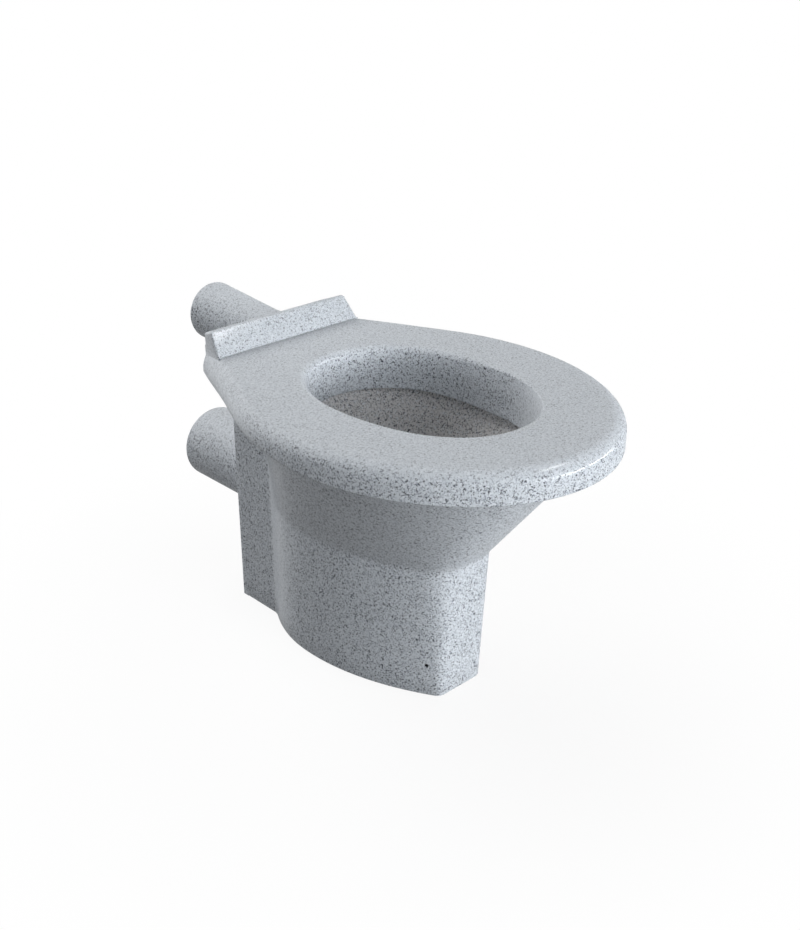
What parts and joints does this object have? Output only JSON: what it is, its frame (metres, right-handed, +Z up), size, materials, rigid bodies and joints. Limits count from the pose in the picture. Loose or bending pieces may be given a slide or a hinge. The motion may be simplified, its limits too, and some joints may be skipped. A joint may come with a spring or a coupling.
{
  "type": "toilet bowl",
  "caption": "Wall-outlet toilet pan of speckled cast resin with a broad seat deck, rear upstand, flared pedestal foot, internal trap, soil outlet and flush inlet spigots.",
  "frame": {"origin": "floor level, under the middle of the overall width and of the overall length with both spigots", "axes": "+Z up, +Y from the front of the seat deck to the wall and along the spigots, +X to the right of somebody who faces the wall"},
  "size_m": [0.4318, 0.715, 0.4363],
  "materials": {
    "speckled_resin": "satin cast resin, pale grey with dark mineral specks",
    "insert_brass": "turned brass",
    "black_screw": "black oxide steel",
    "zinc_bracket": "zinc plated sheet"
  },
  "bodies": {
    "root": {"seat_deck": "speckled_resin", "rear_upstand": "speckled_resin", "pedestal_body": "speckled_resin", "rear_wall_plate": "speckled_resin", "bowl": "speckled_resin", "rim_channel_ring": "speckled_resin", "flush_duct_floor": "speckled_resin", "trap_inlet_bend": "speckled_resin", "trap_outlet_bend": "speckled_resin", "throat_sleeve": "speckled_resin", "trap_joint_sleeve": "speckled_resin", "outlet_spigot": "speckled_resin", "flush_inlet_spigot": "speckled_resin", "lower_left_wall_insert": "insert_brass", "lower_right_wall_insert": "insert_brass", "upper_left_wall_insert": "insert_brass", "upper_right_wall_insert": "insert_brass", "left_side_set_screw": "black_screw", "right_side_set_screw": "black_screw", "left_floor_bracket": "zinc_bracket", "right_floor_bracket": "zinc_bracket"}
  },
  "joints": []
}
